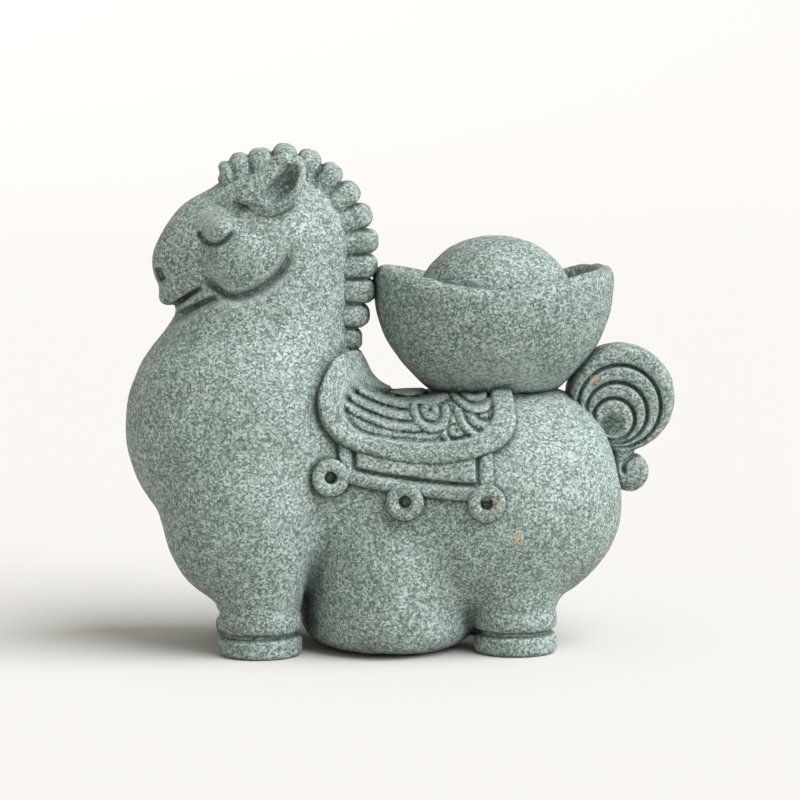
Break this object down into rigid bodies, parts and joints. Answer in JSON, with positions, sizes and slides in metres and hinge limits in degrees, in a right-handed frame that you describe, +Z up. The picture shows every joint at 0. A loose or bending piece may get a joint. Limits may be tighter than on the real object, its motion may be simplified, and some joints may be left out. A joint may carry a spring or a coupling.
{
  "type": "jade figurine",
  "caption": "Plump resting horse in speckled green stone with a tufted mane, a carved saddle blanket and a boat-shaped ingot on its back; a desk ornament.",
  "frame": {"origin": "centre of the footprint's bounding box, on the plane that the four hooves stand on", "axes": "+X from head to tail along the body, +Y to the horse's right flank, +Z up"},
  "size_m": [0.1399, 0.072, 0.1275],
  "materials": {
    "body_stone": "fine-grained matt speckled green stone, tooled smooth",
    "carved_stone": "the same stone, carved in relief, with darker hollows",
    "ingot_stone": "the same stone, ground to smooth sides"
  },
  "bodies": {
    "root": {"horse_body": "body_stone", "hoof_front_left": "body_stone", "hoof_front_right": "body_stone", "hoof_rear_left": "body_stone", "hoof_rear_right": "body_stone", "mane": "carved_stone", "ear_left": "body_stone", "ear_right": "body_stone", "saddle_blanket": "carved_stone", "hanging_panel_left": "carved_stone", "hanging_panel_right": "carved_stone", "pendant_left_front": "carved_stone", "pendant_left_middle": "carved_stone", "pendant_left_rear": "carved_stone", "pendant_right_front": "carved_stone", "pendant_right_middle": "carved_stone", "pendant_right_rear": "carved_stone", "ingot_boat": "ingot_stone", "ingot_dome": "ingot_stone", "tail": "carved_stone"}
  },
  "joints": []
}
